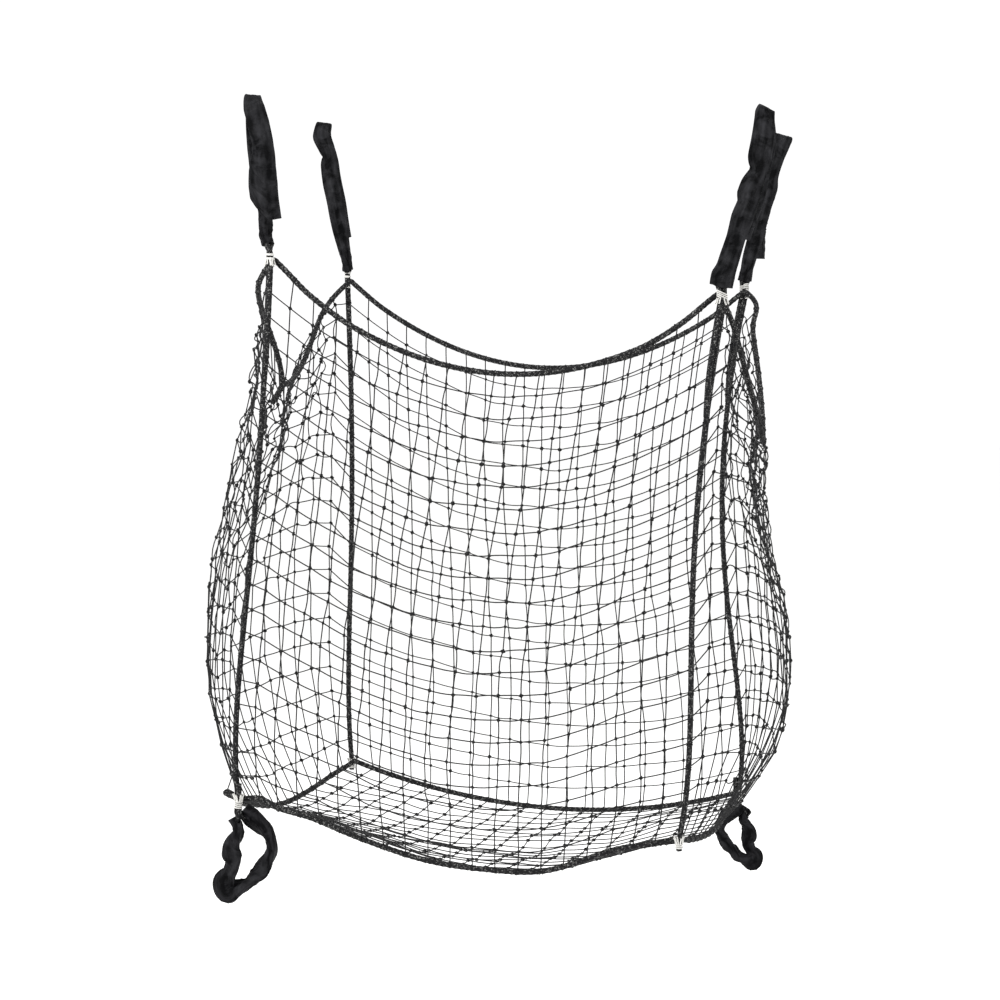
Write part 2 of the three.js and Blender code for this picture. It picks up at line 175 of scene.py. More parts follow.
# The frame of the bag, the same rule as the solids, in millimetres. Corners: how far their rope bows out
# above and below, and how far the mouth rope rises into the lashing
corners = {
    "front_left": {"top": (-480, -440, -335), "foot": (-550, -450, -1445), "bow": (-6, 52), "rise": 13},
    "front_right": {"top": (460, -425, -408), "foot": (378, -480, -1502), "bow": (-37, 54), "rise": 17},
    "rear_right": {"top": (440, 435, -382), "foot": (430, 435, -1545), "bow": (-75, 50), "rise": 0},
    "rear_left": {"top": (-495, 415, -352), "foot": (-500, 468, -1495), "bow": (-16, 45), "rise": 0},
}
# Sides: sag of the mouth rope, pointed (1) or round (2), how soon it stands out from its corners, sag of the
# foot rope, how far the net stands out at the depths in bellyAt, and where the foot rope rides up: place and
# spread as shares of the side, and height
sides = {
    "front": {"from": "front_left", "to": "front_right", "sag": 184, "point": 2.0, "soon": 2.0, "footSag": 86,
              "belly": (0, 41, 96, 152, 184, 177, 120, 70),
              "footLifts": ((0.25, 0.18, 25), (0.05, 0.05, 17), (0.16, 0.08, 12), (0.87, 0.09, 16),
                            (0.69, 0.09, -8))},
    "right": {"from": "front_right", "to": "rear_right", "sag": 312, "point": 1.2, "soon": 1.6, "footSag": 28,
              "belly": (60, 86, 121, 162, 170, 150, 76, 14), "footLifts": ((0.75, 0.2, 22),)},
    "rear": {"from": "rear_right", "to": "rear_left", "sag": 188, "point": 2.0, "soon": 2.0, "footSag": 86,
             "belly": (0, 38, 96, 154, 186, 176, 117, 70)},
    "left": {"from": "rear_left", "to": "front_left", "sag": 288, "point": 1.0, "soon": 4.0, "footSag": 80,
             "belly": (60, 98, 149, 185, 193, 175, 116, 70), "footLifts": ((0.68, 0.25, 28),)},
}
bellyAt = (0, 0.15, 0.3, 0.45, 0.6, 0.75, 0.9, 1)
bellySpline, bellySteps = 40, 200  # points on each span of its curve, and in its lookup
ropeRadius = 6 * mm
ropePitch = 12.4 * mm  # between two ropes side by side
swingReach, riseReach = 0.09, 0.18  # from a corner, where a rim swings in and where it rises
footHold = 20  # the higher, the closer to its corners the foot rope may ride up
floorLifts = ((0.25, 0.18, 10),)  # the floor net stays up behind the raised stretch of the front rope
floorFade = 0.1  # about the most that v * (1 - v) ** 3 comes to


def place(values):
    return Vector(values) * mm


def outwardOf(corner):
    x, y, _ = corner["top"]
    return Vector((math.copysign(1, x), math.copysign(1, y), 0)).normalized()


def cornerLine(corner, down):
    bow = 4 * down * (1 - down) * lerp(*corner["bow"], down ** 3) * mm
    return place(corner["top"]).lerp(place(corner["foot"]), down) + outwardOf(corner) * bow


def bellyLookup(belly):
    # evenly spaced from mouth to foot, in metres
    rows = throughPoints([(a, b, 0) for a, b in zip(bellyAt, belly)], bellySpline)
    values = []
    for i in range(bellySteps + 1):
        down = i / bellySteps
        k = next((n for n, row in enumerate(rows) if row.x >= down - 1e-9), len(rows) - 1)
        a, b = rows[max(k - 1, 0)], rows[k]
        share = (down - a.x) / (b.x - a.x) if b.x > a.x else 0
        values.append(lerp(a.y, b.y, clamp(share)) * mm)
    return values


for side in sides.values():
    side["bellyLookup"] = bellyLookup(side["belly"])


def bellyOf(side, down):
    return side["bellyLookup"][int(round(clamp(down) * bellySteps))]


def acrossTop(side):
    return place(corners[side["to"]]["top"]) - place(corners[side["from"]]["top"])


def outwardOfSide(side):
    along = acrossTop(side)
    along.z = 0
    return along.normalized().cross(up)


def footLift(lifts, along):
    return sum(height * math.exp(-((along - at) / width) ** 2) for at, width, height in lifts)


def rimLine(side, end, along):
    # end: 0 for the mouth, 1 for the foot
    key = "foot" if end else "top"
    a, b = place(corners[side["from"]][key]), place(corners[side["to"]][key])
    sag, point, soon = (side["footSag"], 2.0, 2.0) if end else (side["sag"], side["point"], side["soon"])
    fromMiddle = abs(2 * along - 1)
    standing = bellyOf(side, end) * (1 - fromMiddle ** soon)
    fall = sag * (1 - fromMiddle ** point)
    if end:
        fall -= footLift(side.get("footLifts", ()), along) * (1 - fromMiddle ** footHold)
    return a.lerp(b, along) - up * fall * mm + outwardOfSide(side) * standing


def rimCourse(side, end, along):
    # swings in behind the corner ropes, and at the top up into their lashings
    nearest = corners[side["from"] if along < 0.5 else side["to"]]
    fromCorner = min(along, 1 - along) * acrossTop(side).length
    swing = 1 - smooth(fromCorner / swingReach)
    rise = 0 if end else nearest["rise"] * mm * (1 - smooth(fromCorner / riseReach))
    return rimLine(side, end, along) + up * rise - outwardOf(nearest) * ropePitch * swing


def spread(first, last, left, right):
    # a patch hung between four edge lines
    ends = first(0), first(1), last(0), last(1)

    def at(u, v):
        return (first(u) * (1 - v) + last(u) * v + left(v) * (1 - u) + right(v) * u
                - ends[0] * (1 - u) * (1 - v) - ends[1] * u * (1 - v)
                - ends[2] * (1 - u) * v - ends[3] * u * v)
    return at


def sideSurface(side):
    patch = spread(partial(rimLine, side, 0), partial(rimLine, side, 1),
                   partial(cornerLine, corners[side["from"]]), partial(cornerLine, corners[side["to"]]))
    outward = outwardOfSide(side)

    def at(u, v):
        fullness = bellyOf(side, v) - lerp(bellyOf(side, 0), bellyOf(side, 1), v)
        return patch(u, v) + outward * fullness * 4 * u * (1 - u)
    return at


def floorSurface():
    patch = spread(lambda u: rimCourse(sides["front"], 1, u), lambda u: rimCourse(sides["rear"], 1, 1 - u),
                   lambda v: rimCourse(sides["left"], 1, 1 - v), lambda v: rimCourse(sides["right"], 1, v))

    def at(u, v):
        lift = footLift(floorLifts, u) * v * (1 - v) ** 3 / floorFade
        return patch(u, v) + up * lift * mm
    return at


# Geometry Nodes: one tree for rope and twine, one for net
def newTree(name, sockets):
    tree = bpy.data.node_groups.new(name, "GeometryNodeTree")
    tree.interface.new_socket("Geometry", in_out="OUTPUT", socket_type="NodeSocketGeometry")
    tree.interface.new_socket("Paths", in_out="INPUT", socket_type="NodeSocketGeometry")
    for label, kind in sockets:
        tree.interface.new_socket(label, in_out="INPUT", socket_type="NodeSocket" + kind)
    add = partial(addNode, tree)
    return tree, add, add("NodeGroupInput").outputs


def closeTree(tree, whole, material):
    for kind, inputs in (("GeometryNodeSetShadeSmooth", {}), ("GeometryNodeRealizeInstances", {}),
                         ("GeometryNodeSetMaterial", {"Material": material})):
        whole = addNode(tree, kind, {"Geometry": whole.outputs[0], **inputs})
    addNode(tree, "NodeGroupOutput", {0: whole.outputs[0]})
    return tree


def cordTree():
    # path to a cord with its plait or twist standing on it
    tree, add, given = newTree("laidCord", [
        ("Radius", "Float"), ("Step", "Float"), ("Sides", "Int"), ("Strands", "Float"), ("Pitch", "Float"),
        ("Relief", "Float"), ("Plaited", "Float"), ("Material", "Material")])
    line = add("GeometryNodeMeshToCurve", {"Mesh": given["Paths"]}).outputs[0]
    line = add("GeometryNodeResampleCurve", {"Curve": line, "Length": given["Step"]}, mode="LENGTH")
    spot = add("GeometryNodeSplineParameter").outputs
    line = add("GeometryNodeStoreNamedAttribute",
               {"Geometry": line.outputs[0], "Name": "along", "Value": spot["Length"]})
    ring = add("GeometryNodeCurvePrimitiveCircle", {"Resolution": given["Sides"], "Radius": given["Radius"]})
    ring = add("GeometryNodeStoreNamedAttribute",
               {"Geometry": ring.outputs[0], "Name": "around", "Value": spot["Factor"]})
    tube = add("GeometryNodeCurveToMesh",
               {"Curve": line.outputs[0], "Profile Curve": ring.outputs[0], "Fill Caps": True})
    along, around = [add("GeometryNodeInputNamedAttribute", {"Name": label}).outputs[0]
                     for label in ("along", "around")]
    turn = add("ShaderNodeMath", {0: around, 1: given["Strands"]}, operation="MULTIPLY").outputs[0]
    travel = add("ShaderNodeMath", {0: along, 1: given["Pitch"]}, operation="DIVIDE").outputs[0]
    waves = []
    for operation in ("ADD", "SUBTRACT"):
        phase = add("ShaderNodeMath", {0: turn, 1: travel}, operation=operation).outputs[0]
        phase = add("ShaderNodeMath", {0: phase, 1: 2 * math.pi}, operation="MULTIPLY").outputs[0]
        waves.append(add("ShaderNodeMath", {0: phase}, operation="COSINE").outputs[0])
    over = add("ShaderNodeMath", {0: turn, 1: 2 * math.pi}, operation="MULTIPLY").outputs[0]
    over = add("ShaderNodeMath", {0: over}, operation="COSINE").outputs[0]
    ridges = []
    for wave, half in zip(waves, (0.5, -0.5)):
        share = add("ShaderNodeMath", {0: over, 1: half, 2: 0.5}, operation="MULTIPLY_ADD").outputs[0]
        ridges.append(add("ShaderNodeMath", {0: wave, 1: share}, operation="MULTIPLY").outputs[0])
    plait = add("ShaderNodeMath", {0: ridges[0], 1: ridges[1]}, operation="MAXIMUM").outputs[0]
    height = add("ShaderNodeMix", {0: given["Plaited"], 2: waves[0], 3: plait}).outputs[0]
    tube = add("GeometryNodeStoreNamedAttribute",
               {"Geometry": tube.outputs[0], "Name": "strandHeight", "Value": height})
    push = add("ShaderNodeMath", {0: height, 1: given["Relief"]}, operation="MULTIPLY").outputs[0]
    normal = add("GeometryNodeInputNormal").outputs[0]
    offset = add("ShaderNodeVectorMath", {0: normal, "Scale": push}, operation="SCALE").outputs[0]
    tube = add("GeometryNodeSetPosition", {"Geometry": tube.outputs[0], "Offset": offset})
    return closeTree(tree, tube, given["Material"])


strandKind, knotKind, lacingKind = 0.0, 1.0, 2.0  # what a net's points stand for


def netTree():
    # strands, a knot of two bights at each crossing, and a lacing turn where a strand meets a rope
    tree, add, given = newTree("knottedNet", [
        ("Twine Radius", "Float"), ("Bight Radius", "Float"), ("Knot Size", "Float"),
        ("Lacing Radius", "Float"), ("Material", "Material")])
    kind = add("GeometryNodeInputNamedAttribute", {"Name": "kind"}).outputs[0]
    facing, course = [
        add("GeometryNodeInputNamedAttribute", {"Name": label}, data_type="FLOAT_VECTOR").outputs[0]
        for label in ("facing", "course")]
    groups = {}
    for value in (strandKind, knotKind, lacingKind):
        chosen = add("FunctionNodeCompare", {0: kind, 1: value, 12: 0.1}, data_type="FLOAT",
                     operation="EQUAL").outputs[0]
        groups[value] = add("GeometryNodeSeparateGeometry",
                            {"Geometry": given["Paths"], "Selection": chosen}, domain="POINT").outputs[0]
    rings = {}
    for label, facets in (("Twine Radius", 6), ("Bight Radius", 4), ("Knot Size", 6), ("Lacing Radius", 10)):
        rings[label] = add("GeometryNodeCurvePrimitiveCircle",
                           {"Resolution": facets, "Radius": given[label]}).outputs[0]
    line = add("GeometryNodeMeshToCurve", {"Mesh": groups[strandKind]}).outputs[0]
    strands = add("GeometryNodeCurveToMesh",
                  {"Curve": line, "Profile Curve": rings["Twine Radius"], "Fill Caps": True})
    thin = rings["Bight Radius"]
    bight, turn = [add("GeometryNodeCurveToMesh", {"Curve": rings[label], "Profile Curve": thin}).outputs[0]
                   for label in ("Knot Size", "Lacing Radius")]
    knot = add("GeometryNodeJoinGeometry")
    for rotation, scale in (((0.5, 1.2, 0.6), (0.8, 1.0, 1.0)), ((0.9, 0.2, 0.0), (1.0, 0.8, 1.0))):
        laid = add("GeometryNodeTransform", {"Geometry": bight, "Rotation": rotation, "Scale": scale})
        tree.links.new(laid.outputs[0], knot.inputs[0])
    turned = add("FunctionNodeAlignRotationToVector", {"Vector": facing}, axis="Z").outputs[0]
    turned = add("FunctionNodeAlignRotationToVector", {"Rotation": turned, "Vector": course},
                 axis="X", pivot_axis="Z").outputs[0]
    size = add("FunctionNodeRandomValue", {2: 0.85, 3: 1.2, "Seed": 7}, data_type="FLOAT").outputs[1]
    knots = add("GeometryNodeInstanceOnPoints",
                {"Points": groups[knotKind], "Instance": knot.outputs[0], "Rotation": turned, "Scale": size})
    turns = add("GeometryNodeInstanceOnPoints",
                {"Points": groups[lacingKind], "Instance": turn, "Rotation": turned})
    whole = add("GeometryNodeJoinGeometry")
    for part in (turns, knots, strands):
        tree.links.new(part.outputs[0], whole.inputs[0])
    return closeTree(tree, whole, given["Material"])


def grow(name, paths, tree, values, attributes=None):
    # polylines into a finished mesh through a tree
    points = [p for path in paths for p in path]
    edges = []
    start = 0
    for path in paths:
        edges += [(start + i, start + i + 1) for i in range(len(path) - 1)]
        start += len(path)
    mesh = bpy.data.meshes.new(name)
    mesh.from_pydata(points, edges, [])
    for label, kind, field, data in attributes or []:
        mesh.attributes.new(label, kind, "POINT").data.foreach_set(field, data)
    piece = bpy.data.objects.new(name, mesh)
    bpy.context.scene.collection.objects.link(piece)
    modifier = piece.modifiers.new("grow", "NODES")
    modifier.node_group = tree
    for socket in tree.interface.items_tree:
        if socket.in_out == "INPUT" and socket.name in values:
            modifier[socket.identifier] = values[socket.name]
    return settle(piece)


def settle(piece):
    # the modifiers become a plain mesh
    depsgraph = bpy.context.evaluated_depsgraph_get()
    done = bpy.data.meshes.new_from_object(piece.evaluated_get(depsgraph), preserve_all_data_layers=True,
                                           depsgraph=depsgraph)
    piece.modifiers.clear()
    piece.data = done
    done.name = piece.name
    return piece


def handOver(piece, node):
    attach(piece, "root")
    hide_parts(node)


# Materials
def fuzz(add, spot, size, detail, strength, depth):
    # fibres too fine to model
    fine = add("ShaderNodeTexNoise", {"Vector": spot, "Scale": 1 / size, "Detail": detail}).outputs[0]
    return add("ShaderNodeBump", {"Height": fine, "Strength": strength, "Distance": depth})


def coat(material, colour, bump):
    tree = material.node_tree
    shader = tree.nodes["Principled BSDF"]
    tree.links.new(colour.outputs[2], shader.inputs["Base Color"])
    tree.links.new(bump.outputs[0], shader.inputs["Normal"])
    return material


def blackRopeMaterial():
    # braided polypropylene: near-black, with painted shade in the grooves between strands and painted light
    # on their grey crowns, and scattered pale fibre ends that also stand in for glints of light on the braid
    look = {"deep": "#040405", "paintedCrownLight": "#1e1e1f", "fleckAndGlint": "#7a7a78", "fleckAndGlintSize": 2.2 * mm,
            "fibre": 0.5 * mm, "fibreDepth": 0.3 * mm}
    material, add = newMaterial("black braided polypropylene", {"Roughness": 0.7, "Specular IOR Level": 0.05})
    spot = add("ShaderNodeTexCoord").outputs["Object"]
    height = add("ShaderNodeAttribute", attribute_name="strandHeight").outputs["Fac"]
    # painted shade and light: the strands darker down in the grooves between them, lighter on their raised
    # crowns
    lift = add("ShaderNodeMapRange", {0: height, 1: -0.6, 2: 1.0, 3: 0.0, 4: 1.0}).outputs[0]
    base = add("ShaderNodeMix", {0: lift, 6: tint(look["deep"]), 7: tint(look["paintedCrownLight"])}, data_type="RGBA")
    # pale fibre flecks, partly real light threads and partly painted glints of light on the braid
    cells = add("ShaderNodeTexVoronoi", {"Vector": spot, "Scale": 1 / look["fleckAndGlintSize"]})
    chance = add("ShaderNodeSeparateColor", {0: cells.outputs["Color"]}).outputs[0]
    fleckAndGlint = add("ShaderNodeMapRange", {0: chance, 1: 0.8, 2: 1.0, 3: 0.0, 4: 0.6}).outputs[0]
    colour = add("ShaderNodeMix", {0: fleckAndGlint, 6: base.outputs[2], 7: tint(look["fleckAndGlint"])}, data_type="RGBA")
    return coat(material, colour, fuzz(add, spot, look["fibre"], 3.0, 0.5, look["fibreDepth"]))


def netTwineMaterial():
    # polyethylene twine: dull black with lighter scuffs, a little gloss along the filaments
    look = {"base": "#070708", "scuff": "#1c1c1e", "scuffSize": 6 * mm, "filament": 0.4 * mm,
            "filamentDepth": 0.2 * mm}
    material, add = newMaterial("black polyethylene twine", {"Roughness": 0.5, "Specular IOR Level": 0.16})
    spot = add("ShaderNodeTexCoord").outputs["Object"]
    patch = add("ShaderNodeTexNoise", {"Vector": spot, "Scale": 1 / look["scuffSize"], "Detail": 4.0})
    share = add("ShaderNodeMapRange", {0: patch.outputs[0], 1: 0.5, 2: 0.75, 3: 0.0, 4: 0.8}).outputs[0]
    colour = add("ShaderNodeMix", {0: share, 6: tint(look["base"]), 7: tint(look["scuff"])}, data_type="RGBA")
    return coat(material, colour, fuzz(add, spot, look["filament"], 2.0, 0.4, look["filamentDepth"]))


def sleeveMaterial():
    # woven cloth: soft black with a fine thread grid, crumpled; lighter along dusty lengthwise streaks and,
    # as painted light, on the raised crests of the crumple folds
    look = {"base": "#060607", "wornAndLit": "#252527", "streak": (1 / (11 * mm), 1 / (75 * mm), 1.0),
            "crumple": 26 * mm, "crumpleDepth": 7 * mm,
            "thread": 1.2 * mm, "threadDepth": 0.25 * mm,  # thread drawn twice its size
            "band": 0.314}  # width of a wave texture's band at scale 1
    material, add = newMaterial("matt black woven cloth", {"Roughness": 0.6, "Specular IOR Level": 0.025})
    cloth = add("ShaderNodeUVMap", uv_map="cloth").outputs[0]
    streaks = add("ShaderNodeMapping", {"Vector": cloth, "Scale": look["streak"]}).outputs[0]
    patch = add("ShaderNodeTexNoise", {"Vector": streaks, "Scale": 1.0, "Detail": 6.0}).outputs[0]
    crumple = add("ShaderNodeTexNoise", {"Vector": cloth, "Scale": 1 / look["crumple"], "Detail": 4.0,
                                         "Roughness": 0.6, "Distortion": 0.6}).outputs[0]
    # partly dusty wear in lengthwise streaks, partly painted light: the same crumple noise that bumps the
    # folds lightens their crests and leaves painted shade in their hollows
    wearAndFoldLight = add("ShaderNodeMath", {0: patch, 1: crumple}, operation="ADD").outputs[0]
    share = add("ShaderNodeMapRange", {0: wearAndFoldLight, 1: 0.85, 2: 1.3, 3: 0.0, 4: 1.0}).outputs[0]
    colour = add("ShaderNodeMix", {0: share, 6: tint(look["base"]), 7: tint(look["wornAndLit"])}, data_type="RGBA")
    threads = [add("ShaderNodeTexWave",
                   {"Vector": cloth, "Scale": look["band"] / look["thread"], "Distortion": 0.4},
                   wave_type="BANDS", bands_direction=direction).outputs["Fac"] for direction in ("X", "Y")]
    weave = add("ShaderNodeMath", {0: threads[0], 1: threads[1]}, operation="MAXIMUM").outputs[0]
    folds = add("ShaderNodeBump", {"Height": crumple, "Strength": 0.9, "Distance": look["crumpleDepth"]})
    bump = add("ShaderNodeBump", {"Height": weave, "Strength": 0.35, "Distance": look["threadDepth"],
                                  "Normal": folds.outputs[0]})
    return coat(material, colour, bump)


def whiteTwineMaterial():
    # lashing twine: off-white plies, with painted shade greying the grooves between them
    look = {"paintedGrooveShade": "#6b6a66", "ply": "#c2c1bd", "fibre": 0.4 * mm, "fibreDepth": 0.2 * mm}
    material, add = newMaterial("white twine", {"Roughness": 0.75, "Sheen Weight": 0.3})
    spot = add("ShaderNodeTexCoord").outputs["Object"]
    height = add("ShaderNodeAttribute", attribute_name="strandHeight").outputs["Fac"]
    # painted shade: the grooves between the plies darkened, the plies keep their off-white
    lift = add("ShaderNodeMapRange", {0: height, 1: -1.0, 2: 0.3, 3: 0.0, 4: 1.0}).outputs[0]
    colour = add("ShaderNodeMix", {0: lift, 6: tint(look["paintedGrooveShade"]), 7: tint(look["ply"])}, data_type="RGBA")
    return coat(material, colour, fuzz(add, spot, look["fibre"], 2.0, 0.4, look["fibreDepth"]))


laidCord = cordTree()
knottedNet = netTree()
ropeBlack = blackRopeMaterial()
twineBlack = netTwineMaterial()
clothBlack = sleeveMaterial()
twineWhite = whiteTwineMaterial()
ropeLook = {"Radius": 5.6 * mm, "Step": 2.4 * mm, "Sides": 16, "Strands": 4.0, "Pitch": 13 * mm,
            "Relief": 0.7 * mm, "Plaited": 1.0, "Material": ropeBlack}
twineLook = {"Radius": 1.25 * mm, "Step": 1.5 * mm, "Sides": 9, "Strands": 3.0, "Pitch": 9 * mm,
             "Relief": 0.3 * mm, "Plaited": 0.0, "Material": twineWhite}
print("trees and materials made")


# Rim ropes: round the bag. The top one's two ends meet on the left and hang together
rim = {
    "steps": 120, "halfSteps": 60,
    "endShare": 0.495,  # of the left side, where an end of the foot rope stops
    "meet": (-546, -40, -588), "endAt": (-571, -40, -628), "beside": 6.2,
    "shortBy": 3,  # steps left out before the top one's ends meet
    "rear_left": {"fall": 2.0, "stand": 10}, "front_left": {"fall": 0.65, "stand": 4.5},
}
# Bends where a rim stands out from its corner before it turns: place and spread as shares of the half side,
# and how far out and up in millimetres
bends = {
    ("top", "right"): {"corner": "rear_right", "at": 0.07, "before": 0.04, "after": 0.09, "out": 25,
                       "liftAt": 0.03, "liftSpread": 0.03, "lift": 12},
    ("foot", "left"): {"corner": "front_left", "at": 0.1, "before": 0.055, "after": 0.07, "out": 31,
                       "liftAt": 0.13, "liftSpread": 0.06, "lift": 18},
}


def leftLeg(cornerName, share):
    # from its corner down to where the two legs meet
    corner, leg = corners[cornerName], rim[cornerName]
    top, meet = place(corner["top"]), place(rim["meet"])
    here = Vector((lerp(top.x, meet.x, 1 - (1 - share) ** leg["stand"]), lerp(top.y, meet.y, share),
                   lerp(top.z, meet.z, 1 - (1 - share) ** leg["fall"])))
    swing = 1 - smooth(share * abs(meet.y - top.y) / swingReach)
    return here + (up * corner["rise"] * mm - outwardOf(corner) * ropePitch) * swing


def bendOf(level, sideName, along):
    bend = bends.get((level, sideName))
    if not bend:
        return Vector((0, 0, 0))
    side = sides[sideName]
    share = 2 * along if side["from"] == bend["corner"] else 2 - 2 * along
    width = bend["before"] if share < bend["at"] else bend["after"]
    out = bend["out"] * math.exp(-((share - bend["at"]) / width) ** 2)
    lift = bend["lift"] * math.exp(-((share - bend["liftAt"]) / bend["liftSpread"]) ** 2)
    return (outwardOfSide(side) * out + up * lift) * mm


def topRun(sideName, along):
    if sideName == "left":
        return leftLeg("rear_left", 2 * along) if along < 0.5 else leftLeg("front_left", 2 - 2 * along)
    return rimCourse(sides[sideName], 0, along) + bendOf("top", sideName, along)


def footRun(sideName, along):
    return rimCourse(sides[sideName], 1, along) + bendOf("foot", sideName, along)


def rimRope(node, run, fromRear, fromFront):
    steps = rim["steps"]
    threeSides = [run(name, i / steps) for name in ("front", "right", "rear") for i in range(steps)]
    course = throughPoints(fromFront[:0:-1] + threeSides + fromRear, 2)
    piece = grow(node + "_braid", [course], laidCord, ropeLook)
    handOver(piece, node)


topLegs = []
for name, s in (("rear_left", 1), ("front_left", -1)):
    beside = Vector((0, s * rim["beside"] * mm, 0))
    leg = [leftLeg(name, i / rim["halfSteps"]) for i in range(rim["halfSteps"] - rim["shortBy"])]
    topLegs.append(leg + [place(rim["meet"]) + beside, place(rim["endAt"]) + beside])
rimRope("rim_rope_top", topRun, *topLegs)
footHalf = [rim["endShare"] * i / rim["halfSteps"] for i in range(rim["halfSteps"] + 1)]
rimRope("rim_rope_bottom", footRun, [footRun("left", share) for share in footHalf],
        [footRun("left", 1 - share) for share in footHalf])
print("rims laid")


# Net panels
netSize = {
    "columns": 20, "rows": 22, "mesh": 50 * mm, "between": 4,  # between: points from a knot to the next
    "twine": 1.35 * mm, "bight": 1.6 * mm, "knot": 3.3 * mm, "lacing": 5.9 * mm,
    # how far knots stray in the net and out of it, and the gain and fineness of the noise behind it
    "stray": 4.2 * mm, "bulge": 6 * mm, "strayGain": 1.6, "strayGrain": 9,
    # left and right sides: how far the rows bunch up under the rim at mid span, and the pleats that it gives
    "endCrowd": 0.48, "pleat": 48 * mm, "pleatTurn": 1.35, "zigzag": 22 * mm,
    # how much of the spare twine between knots shows, 3/8 as in a shallow arc, and the droop in millimetres
    "slack": 0.25, "endSlack": 0.6, "bowShare": 0.375, "droop": 0.7,
    # lacing: slips along the rope in millimetres, and leans; knots turn a little
    "slip": 5, "lean": 0.5, "leanGrain": 50, "knotTurn": 0.4,
}


def netPanel(name, surface, edges, rows, crowd, slack, seed):
    # edges: the four rope lines (top, foot, left, right) where strands end
    random.seed(seed)
    shift = Vector((seed * 7.1, seed * 3.7, seed * 1.3))  # each piece has its own part of the noise
    columns = netSize["columns"]
    step = 1e-3

    def spotAt(u, v):
        here = surface(u, v)
        a = surface(min(u + step, 1), v) - surface(max(u - step, 0), v)
        b = surface(u, min(v + step, 1)) - surface(u, max(v - step, 0))
        return here, a.normalized(), b.normalized(), a.cross(b).normalized()

    spots = {}
    for i in range(columns + 1):
        for j in range(rows + 1):
            u = i / columns
            v = (j / rows) ** (1 + crowd * (4 * u * (1 - u)) ** 0.5)
            here, across, down, normal = spotAt(u, v)
            free = clamp(8 * u * (1 - u)) * clamp(12 * v * (1 - v))  # held fast at the ropes
            stray = noise.noise_vector(here * netSize["strayGrain"] + shift)
            wave = math.sin(u * columns * netSize["pleatTurn"] + 3 * stray.z)
            pleat = netSize["pleat"] * crowd * wave * (1 - v) ** 3 * free
            zigzag = netSize["zigzag"] * crowd * (1 - v) ** 1.5 * (-1) ** (i + j)
            aside = (across * stray.x + down * stray.y) * netSize["stray"] * free * netSize["strayGain"]
            here = here + aside + across * zigzag * free
            here = here - normal * (stray.z * netSize["bulge"] * free * netSize["strayGain"] + pleat)
            spots[i, j] = here, normal, across, down
    for i in range(columns + 1):
        spots[i, 0] = (edges[0](i / columns),) + spots[i, 0][1:]
        spots[i, rows] = (edges[1](i / columns),) + spots[i, rows][1:]
    for j in range(rows + 1):
        v = j / rows
        spots[0, j] = (edges[2](v),) + spots[0, j][1:]
        spots[columns, j] = (edges[3](v),) + spots[columns, j][1:]

    paths, kinds, facings, courses = [], [], [], []

    def addPath(path, kind, facing, course):
        paths.append(path)
        for _ in path:
            kinds.append(kind)
            facings.extend(facing)
            courses.extend(course)

    lines = [[(i, j) for j in range(rows + 1)] for i in range(1, columns)]
    lines += [[(i, j) for i in range(columns + 1)] for j in range(1, rows)]
    between, slip, knotTurn = netSize["between"], netSize["slip"], netSize["knotTurn"]
    for line in lines:
        path = []
        for a, b in zip(line, line[1:]):
            p, q, normal = spots[a][0], spots[b][0], spots[a][1]
            chord = (q - p).length
            spare = (netSize["bowShare"] * chord * max(0.0, netSize["mesh"] - chord)) ** 0.5 * slack
            sideways = (q - p).normalized().cross(normal)
            aside = normal * random.uniform(-1, 1) + sideways * random.uniform(-1, 1)
            bow = aside * spare - up * netSize["droop"] * mm
            for k in range(between):
                t = k / between
                path.append(p.lerp(q, t) + bow * 4 * t * (1 - t))
        path.append(spots[line[-1]][0].copy())
        addPath(path, strandKind, (0, 0, 1), (1, 0, 0))
        for end in (line[0], line[-1]):
            here, normal, across, down = spots[end]
            alongRope = down if line[0][1] == line[-1][1] else across
            offset = alongRope * random.uniform(-slip, slip) * mm
            lean = noise.noise_vector(here * netSize["leanGrain"]) * netSize["lean"]
            addPath([here + offset], lacingKind, (alongRope + lean).normalized(), normal)
    for i in range(1, columns):
        for j in range(1, rows):
            here, normal, across, down = spots[i, j]
            course = (across + down * random.uniform(-knotTurn, knotTurn)).normalized()
            addPath([here], knotKind, normal, course)
    piece = grow(name + "_knotted", paths, knottedNet,
                 {"Twine Radius": netSize["twine"], "Bight Radius": netSize["bight"],
                  "Knot Size": netSize["knot"], "Lacing Radius": netSize["lacing"], "Material": twineBlack},
                 [("kind", "FLOAT", "value", kinds), ("facing", "FLOAT_VECTOR", "vector", facings),
                  ("course", "FLOAT_VECTOR", "vector", courses)])
    handOver(piece, name)


for seed, (sideName, side) in enumerate(sides.items(), 1):
    isEnd = sideName in ("left", "right")
    ropes = [partial(topRun, sideName), partial(footRun, sideName)]
    ropes += [partial(cornerLine, corners[side[key]]) for key in ("from", "to")]
    netPanel("net_" + sideName, sideSurface(side), ropes, netSize["rows"],
             netSize["endCrowd"] if isEnd else 0.0, netSize["endSlack"] if isEnd else netSize["slack"], seed)
netPanel("net_bottom", floorSurface(), (lambda u: footRun("front", u), lambda u: footRun("rear", 1 - u),
                                        lambda v: footRun("left", 1 - v), lambda v: footRun("right", v)),
         netSize["columns"], 0.0, netSize["slack"], 5)
print("nets knotted")


